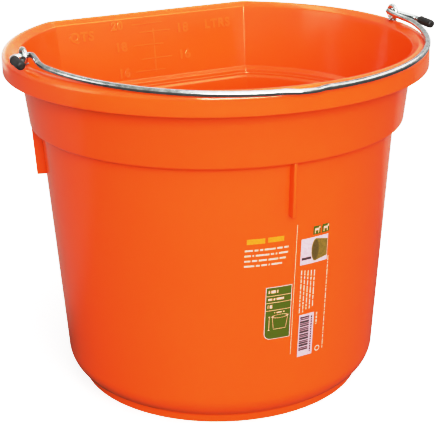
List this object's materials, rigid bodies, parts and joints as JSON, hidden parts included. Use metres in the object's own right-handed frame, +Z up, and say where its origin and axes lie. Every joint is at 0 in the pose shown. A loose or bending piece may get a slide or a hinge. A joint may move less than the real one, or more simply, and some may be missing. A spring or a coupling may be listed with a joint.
{
  "type": "feed bucket",
  "caption": "Round moulded plastic feed bucket with a flat back, stepped upper band, stacking ribs and a swinging steel wire bail held in eye bolts on the rim.",
  "frame": {"origin": "under the middle of the whole object's plan box, at the foot ring's underside", "axes": "+Z up out of the mouth, +Y out of the flat back, +X along the bail's pivot line to the right seen from the front"},
  "size_m": [0.3904, 0.3388, 0.315],
  "materials": {
    "bucket_plastic": "glossy moulded orange polyethylene",
    "label_print": "printed film",
    "eye_steel": "bright zinc plated",
    "fixing_steel": "zinc plated",
    "bail_steel": "bright plated wire",
    "cap_plastic": "satin black"
  },
  "bodies": {
    "bucket": {"bucket_shell": "bucket_plastic", "front_label": "label_print", "left_eye_bolt": "eye_steel", "left_washer": "fixing_steel", "left_nut": "fixing_steel", "right_eye_bolt": "eye_steel", "right_washer": "fixing_steel", "right_nut": "fixing_steel"},
    "bail": {"bail_wire": "bail_steel", "left_end_cap": "cap_plastic", "right_end_cap": "cap_plastic"}
  },
  "joints": [
    {"name": "bail_swing", "type": "hinge", "parent": "bucket", "child": "bail", "pos_m": [0, 0.00897, 0.3075], "axis": [-1, 0, 0], "range_deg": [0, 184.5]}
  ]
}
